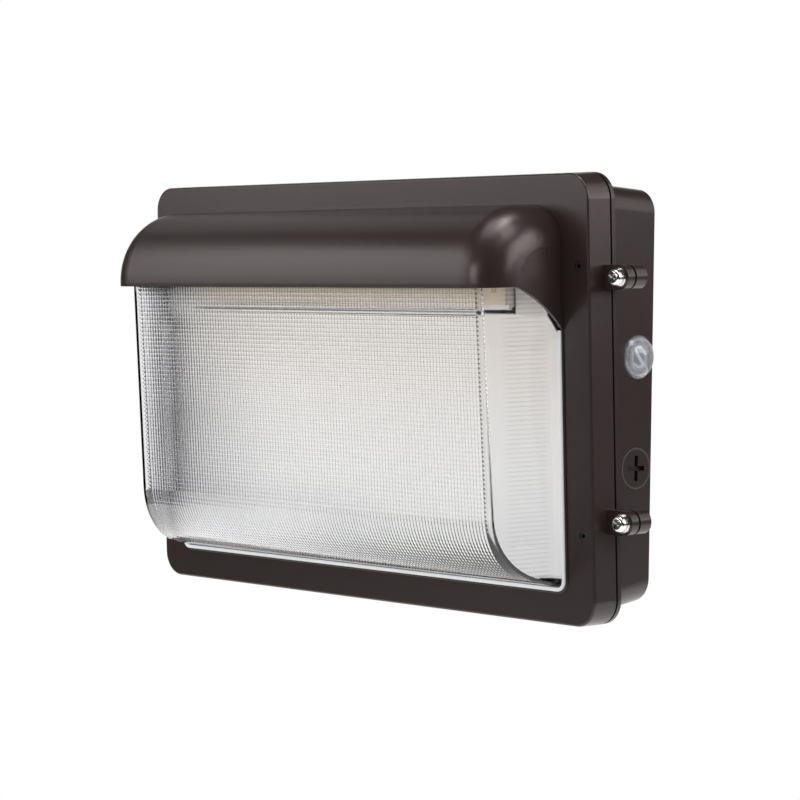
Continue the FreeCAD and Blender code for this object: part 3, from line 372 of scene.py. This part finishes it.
def plugCoat():  # the coat, with a painted highlight on the thin edge
    paint = Paint("plugCoat")
    edge = paint.fromAxis(plug)[0].ramp(*plug["edge"])
    grain = paint.noise(plug["grain"], 2.0)
    # painted highlight on the edge, broken up by the grain
    rimHighlight = edge * (plug["rimHighlightShare"] + grain * (1 - plug["rimHighlightShare"]))
    return paint.finish(paint.surface(
        Base_Color=paint.mix(rimHighlight, coat["dark"], plug["rimHighlight"]),
        Roughness=coat["rough"] + grain * plug["grainRough"],
        Normal=paint.bump(grain, plug["depth"], plug["relief"]), Specular_Tint=coat["glint"]))


finishes = {  # material slot of the record: its finish
    "bronze_paint": powderCoat(),
    "clear_prism": prismGlass(),
    "clear_dome": domePlastic(),
    "white_paint": reflectorPaint(),
    "black_rubber": plainFinish("blackRubber", (0.008, 0.008, 0.008), (0.018, 0.018, 0.018), 0.62,
                                grain=1500.0),
    "bright_steel": plainFinish("brightSteel", (0.62, 0.60, 0.58), (0.80, 0.78, 0.75), 0.16,
                                grain=1200.0, depth=0.000008, metal=1.0, spread=0.10),
    "plain_steel": plainFinish("zincSteel", (0.42, 0.43, 0.42), (0.62, 0.62, 0.58), 0.34,
                               grain=700.0, depth=0.00002, metal=1.0),
    "black_steel": plainFinish("blackOxide", (0.010, 0.010, 0.011), (0.022, 0.022, 0.022), 0.42,
                               grain=1100.0),
    "tray_aluminium": plainFinish("millAluminium", (0.72, 0.71, 0.70), (0.88, 0.87, 0.86), 0.42,
                                  grain=220.0, depth=0.00002, metal=1.0, stretch=(0.06, 1.0, 1.0)),
    "board_white": plainFinish("solderMask", (0.94, 0.80, 0.64), (0.96, 0.84, 0.70), 0.34,
                               grain=600.0),
    "phosphor": plainFinish("phosphor", (0.76, 0.60, 0.34), (0.86, 0.70, 0.44), 0.45,
                            grain=2400.0),
    "white_plastic": plainFinish("whiteNylon", (0.72, 0.72, 0.69), (0.82, 0.82, 0.79), 0.40),
    "black_plastic": plainFinish("blackNylon", (0.012, 0.012, 0.012), (0.03, 0.03, 0.03), 0.46),
    "driver_case": plainFinish("driverCase", (0.030, 0.030, 0.032), (0.060, 0.060, 0.062), 0.42),
    "wire_black": plainFinish("blackWire", (0.010, 0.010, 0.010), (0.022, 0.022, 0.022), 0.36),
    "wire_white": plainFinish("whiteWire", (0.70, 0.70, 0.68), (0.80, 0.80, 0.78), 0.36),
    "wire_red": plainFinish("redWire", (0.42, 0.02, 0.015), (0.52, 0.035, 0.025), 0.36),
    "wire_blue": plainFinish("blueWire", (0.02, 0.06, 0.30), (0.03, 0.09, 0.40), 0.36),
    "wire_green": plainFinish("greenWire", (0.02, 0.20, 0.05), (0.03, 0.28, 0.07), 0.36),
    "connector_orange": plainFinish("orangeCone", (0.62, 0.20, 0.02), (0.74, 0.27, 0.035), 0.42),
    "copper_tin": plainFinish("tinnedCopper", (0.52, 0.50, 0.48), (0.70, 0.67, 0.63), 0.30,
                              depth=0.00001, metal=1.0),
}
for part in frame["record"]["subparts"]:
    slots = frame["nodes"][part["node"]].data.materials
    slots.clear()
    slots.append(finishes[part["material_slot"]])
frame["nodes"]["conduit_plugs"].data.materials[0] = plugCoat()
frame["nodes"]["photocell_sensor"].data.materials[0] = cellFace()
print("finishes ready")


def deselect():
    if bpy.context.object and bpy.context.object.mode != "OBJECT":
        bpy.ops.object.mode_set(mode="OBJECT")
    bpy.ops.object.select_all(action="DESELECT")


def take(piece):  # makes one object the only selected one
    deselect()
    piece.select_set(True)
    bpy.context.view_layer.objects.active = piece


def settle(piece):  # leaves the object at the origin with its place in its mesh
    take(piece)
    bpy.ops.object.transform_apply(location=True, rotation=True, scale=True)


def keepModifiers(piece):
    take(piece)
    for modifier in list(piece.modifiers):
        bpy.ops.object.modifier_apply(modifier=modifier.name)


def openMesh(piece):  # starts an edit with every vertex selected
    take(piece)
    bpy.ops.object.mode_set(mode="EDIT")
    bpy.ops.mesh.select_mode(type="VERT")
    bpy.ops.mesh.select_all(action="SELECT")


def selectVerts(piece, test):
    # within an edit, leaves just the vertices that pass the test selected
    bpy.ops.mesh.select_all(action="DESELECT")
    shape = bmesh.from_edit_mesh(piece.data)
    for vert in shape.verts:
        vert.select = test(vert.co)
    shape.select_flush_mode()
    shape.select_flush(True)
    bmesh.update_edit_mesh(piece.data)


def extrude(x, y, z):
    bpy.ops.mesh.extrude_region_move(TRANSFORM_OT_translate={"value": (x, y, z)})


def mergeVerts(nearness):
    bpy.ops.mesh.select_all(action="SELECT")
    bpy.ops.mesh.remove_doubles(threshold=nearness)


def closeMesh():  # turns every face outwards and ends the edit
    bpy.ops.mesh.select_all(action="SELECT")
    bpy.ops.mesh.normals_make_consistent(inside=False)
    bpy.ops.object.mode_set(mode="OBJECT")


def cutAway(place, normal):  # trims all that lies beyond a plane and closes the cut
    bpy.ops.mesh.select_all(action="SELECT")
    bpy.ops.mesh.bisect(plane_co=place, plane_no=normal, use_fill=True, clear_outer=True)


def bowlStrip(name, left, right, inset, rear, depth):
    # a strip of the bowl's surface, swept round the side profile; its middle stands proud by depth
    run, turns = lensRoute(inset, rear)
    topEnd = towards(run[1], run[0], turns[0][2])
    form = lensShape["fluteForm"] if depth else (0.0, 0.0)
    deselect()
    bpy.ops.mesh.primitive_grid_add(x_subdivisions=len(form) - 1, y_subdivisions=1, size=1)
    strip = bpy.context.object
    strip.name = name
    for vert in strip.data.vertices:
        share = vert.co.x + 0.5  # the grid runs from -0.5 to 0.5
        rise = depth * form[round(share * (len(form) - 1))]
        vert.co = (left + share * (right - left), run[0].x if vert.co.y > 0 else topEnd.x,
                   run[0].y - rise)
    openMesh(strip)
    selectVerts(strip, lambda co: abs(co.y - topEnd.x) < merging["close"])
    ends = [towards(run[2], run[1], turns[1][2]), run[3]]
    for number, (centre, angle, tangent) in enumerate(turns):
        bpy.ops.mesh.spin(steps=lensShape["roundSteps"], angle=-angle,
                          center=(0, centre.x, centre.y), axis=(1, 0, 0))
        pull = ends[number] - towards(run[number + 1], run[number + 2], tangent)
        extrude(0, pull.x, pull.y)
    extrude(0, run[4].x - run[3].x, run[4].y - run[3].y)
    extrude(0, 0, run[0].y - run[4].y)
    bpy.ops.object.mode_set(mode="OBJECT")
    for vert in strip.data.vertices:  # the last row rises past the first, so it is mirrored onto it
        vert.co.z = min(vert.co.z, 2 * run[0].y - vert.co.z)
    openMesh(strip)
    mergeVerts(merging["mirrored"])
    bpy.ops.object.mode_set(mode="OBJECT")
    return strip


def bowl(name, inset, rear, fluted):
    # a closed solid in the form of the bulge, with or without flutes that run down its front
    pitch, count = lensShape["flutePitch"], lensShape["fluteCount"]
    half = pitch * count / 2
    reach = lensShape["halfX"] + lensShape["spare"]
    if fluted:
        body = bowlStrip(name, -half, -half + pitch, inset, rear, lensShape["fluteDepth"])
        repeat = body.modifiers.new("repeat", "ARRAY")
        repeat.count = count
        repeat.use_relative_offset = False
        repeat.use_constant_offset = True
        repeat.constant_offset_displace = (pitch, 0, 0)
        repeat.use_merge_vertices = True
        repeat.merge_threshold = merging["flutes"]
        keepModifiers(body)
        ends = [bowlStrip("end", left, right, inset, rear, 0)
                for left, right in ((-reach, -half), (half, reach))]
        deselect()
        for piece in ends + [body]:
            piece.select_set(True)
        bpy.context.view_layer.objects.active = body
        bpy.ops.object.join()
    else:
        body = bowlStrip(name, -reach, reach, inset, rear, 0)
    openMesh(body)
    mergeVerts(merging["flutes"])
    sideX = lensShape["halfX"] - inset
    corner = lensShape["topCorner"] - inset
    for side in (-1, 1):
        cutAway((side * sideX, 0, 0), (side, -lensShape["draft"], 0))
        cutAway((side * sideX, 0, 0), (side, 0, 0))
        middle = Vector((side * (sideX - corner), 0, lensShape["high"] - inset - corner))
        for angle in map(math.radians, lensShape["cornerCuts"]):
            out = Vector((side * math.cos(angle), 0, math.sin(angle)))
            cutAway(middle + out * corner, out)
    closeMesh()
    body.data.transform(leaned)
    return body


def combine(body, other, operation):
    step = body.modifiers.new(operation.lower(), "BOOLEAN")
    step.operation = operation
    step.object = other
    step.solver = "MANIFOLD"
    keepModifiers(body)
    bpy.data.objects.remove(other)


def prismaticLens():
    # the lens node's own shape, filled by a plain core and hollowed again with flutes
    shell = bpy.data.objects.new("prismaticLens", frame["nodes"]["lens"].data.copy())
    bpy.context.scene.collection.objects.link(shell)
    openMesh(shell)
    mergeVerts(merging["close"])
    bpy.ops.object.mode_set(mode="OBJECT")
    combine(shell, bowl("core", lensShape["coreInset"], lensShape["coreRear"], False), "UNION")
    combine(shell, bowl("hollow", lensShape["wall"] + lensShape["wallPlay"], lensShape["rear"], True),
            "DIFFERENCE")
    take(shell)
    bpy.ops.object.shade_smooth_by_angle(angle=math.radians(lensShape["smooth"]))
    shell.data.materials.clear()
    shell.data.materials.append(finishes["clear_prism"])
    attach(shell, "door")
    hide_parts("lens")


prismaticLens()


bead = {  # in the door's own frame
    "halfX": 0.15995, "low": -0.09895, "top": 0.0365, "corner": 0.0049, "radius": 0.00105,
    "standoff": -0.0012, "sides": 12, "turnSteps": 8, "smooth": 50,
}


def sealBead():
    # silicone bead in the gap between the lens and the door, open under the hood
    deselect()
    bpy.ops.mesh.primitive_circle_add(vertices=bead["sides"], radius=bead["radius"],
                                      location=(bead["halfX"], bead["standoff"], bead["top"]))
    body = bpy.context.object
    body.name = "sealBead"
    settle(body)
    openMesh(body)
    inset = bead["halfX"] - bead["corner"]
    low = bead["low"] + bead["corner"]
    drop = low - bead["top"]
    turn = {"steps": bead["turnSteps"], "angle": -math.pi / 2, "axis": (0, 1, 0)}
    extrude(0, 0, drop)
    bpy.ops.mesh.spin(center=(inset, 0, low), **turn)
    extrude(-2 * inset, 0, 0)
    bpy.ops.mesh.spin(center=(-inset, 0, low), **turn)
    extrude(0, 0, -drop)
    mergeVerts(merging["close"])
    bpy.ops.mesh.fill_holes(sides=0)
    closeMesh()
    body.data.transform(leaned)
    bpy.ops.object.shade_smooth_by_angle(angle=math.radians(bead["smooth"]))
    body.data.materials.append(plainFinish("clearSilicone", (0.72, 0.73, 0.74), (0.80, 0.81, 0.82),
                                           0.22, grain=700.0, depth=0.00002))
    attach(body, "door")


sealBead()
print("lens ready")


studio = {  # turn in degrees, lens and sensor in millimetres
    "camera": (1.14459, -1.06970, 0.04041), "turn": (88.2014, -0.9097, 47.548), "lens": 122.625,
    "sensor": 36.0,
    "floorZ": -0.6, "floorSize": 3.2, "floorTone": (0.86, 0.86, 0.86), "floorGlow": 0.7,
    "white": (1.0, 1.0, 1.0), "ambient": 0.50,
    # what mirrors and glass see: a dim room, and a white sweep round one direction
    "room": 0.03, "throughRoom": 0.40, "sweep": (-0.737, 0.675, 0.0), "sweepEdge": (0.86, 0.95),
    "sweepLight": 1.0,
    "lamps": [  # place, what it faces, width, height, watts
        ((0.10, -0.35, 1.40), (0, -0.05, 0.0), 0.8, 0.8, 6.0),  # overhead
        ((0.22, -0.02, 1.13), (0.16, -0.08, 0.08), 0.44, 0.26, 3.2),  # above the hood's right corner
        ((-0.36, -0.58, 0.28), (0, -0.05, 0.24), 0.70, 0.46, 2.1),  # panel at the left, in front
        ((-0.70, -0.50, 0.50), (0, -0.05, 0.05), 0.50, 0.40, 0.25),  # further left and higher
        ((-0.62, 0.05, 0.62), (0, -0.08, 0.08), 0.4, 0.4, 0.20),  # high on the left
        ((0.66, -0.12, 0.95), (0.16, -0.08, 0.08), 0.4, 0.4, 2.4),  # high, right of that corner
        ((0.98, 0.20, 0.47), (0.16, -0.08, 0.08), 0.60, 0.45, 4.0),  # lower and further right
        ((0.85, 0.80, 0.62), (0.15, -0.03, 0.10), 0.9, 0.9, 3.0),  # high behind the right side
        ((0.92, 0.60, 0.24), (0.15, -0.03, 0.10), 0.3, 0.25, 0.6),  # small, behind the right side
        ((0.75, 0.75, -0.30), (0.15, -0.03, 0.0), 0.6, 0.4, 0.35),  # low behind the right side
        ((0.15, -2.0, 0.45), (0, -0.05, 0.0), 0.6, 0.6, 7.0),  # front
    ],
}


def setCamera():
    deselect()
    bpy.ops.object.camera_add(location=studio["camera"],
                              rotation=[math.radians(angle) for angle in studio["turn"]])
    camera = bpy.context.object
    camera.data.lens = studio["lens"]
    camera.data.sensor_width = studio["sensor"]
    bpy.context.scene.camera = camera


def setLamps():
    for place, target, width, height, watts in studio["lamps"]:
        bpy.ops.object.light_add(type="AREA", location=place)
        lamp = bpy.context.object
        lamp.rotation_euler = (Vector(target) - Vector(place)).to_track_quat("-Z", "Y").to_euler()
        lamp.data.shape = "RECTANGLE"
        lamp.data.size = width
        lamp.data.size_y = height
        lamp.data.energy = watts


def layFloor():  # matte, and white where the camera, a mirror or the glass sees it
    deselect()
    bpy.ops.mesh.primitive_plane_add(size=studio["floorSize"], location=(0, 0, studio["floorZ"]))
    floor = bpy.context.object
    floor.name = "floor"
    settle(floor)
    paint = Paint("paleFloor")
    seen = paint.ray("Camera").math("MAXIMUM", paint.ray("Glossy")) \
        .math("MAXIMUM", paint.ray("Transmission"))
    matte = paint.node("ShaderNodeBsdfDiffuse", sockets={"Color": studio["floorTone"]})
    glow = paint.node("ShaderNodeEmission", sockets={"Color": studio["white"],
                                                      "Strength": seen * studio["floorGlow"]})
    floor.data.materials.append(paint.finish(paint.node("ShaderNodeAddShader",
                                                        sockets={0: matte, 1: glow})))


def lightWorld():  # white for the camera, even and weaker as light on the object
    world = bpy.data.worlds.new("studio")
    bpy.context.scene.world = world
    paint = Paint("studio", world)
    direction = paint.node("ShaderNodeTexCoord", out="Generated")
    facing = paint.node("ShaderNodeVectorMath", {"operation": "DOT_PRODUCT"},
                        {0: direction, 1: studio["sweep"]}, "Value")
    seen = paint.ray("Camera")
    through = paint.ray("Transmission")
    mirror = paint.ray("Glossy").math("MAXIMUM", through)
    room = studio["room"] + through * (studio["throughRoom"] - studio["room"])
    sweep = room + facing.ramp(*studio["sweepEdge"]) * (studio["sweepLight"] - room)
    strength = seen + (1 - seen) * (mirror * sweep + (1 - mirror) * studio["ambient"])
    air = paint.node("ShaderNodeBackground", sockets={"Color": studio["white"],
                                                       "Strength": strength})
    paint.node("ShaderNodeOutputWorld", sockets={"Surface": air})


setCamera()
setLamps()
layFloor()
lightWorld()
bpy.context.scene.view_settings.view_transform = "Standard"
print("studio ready")
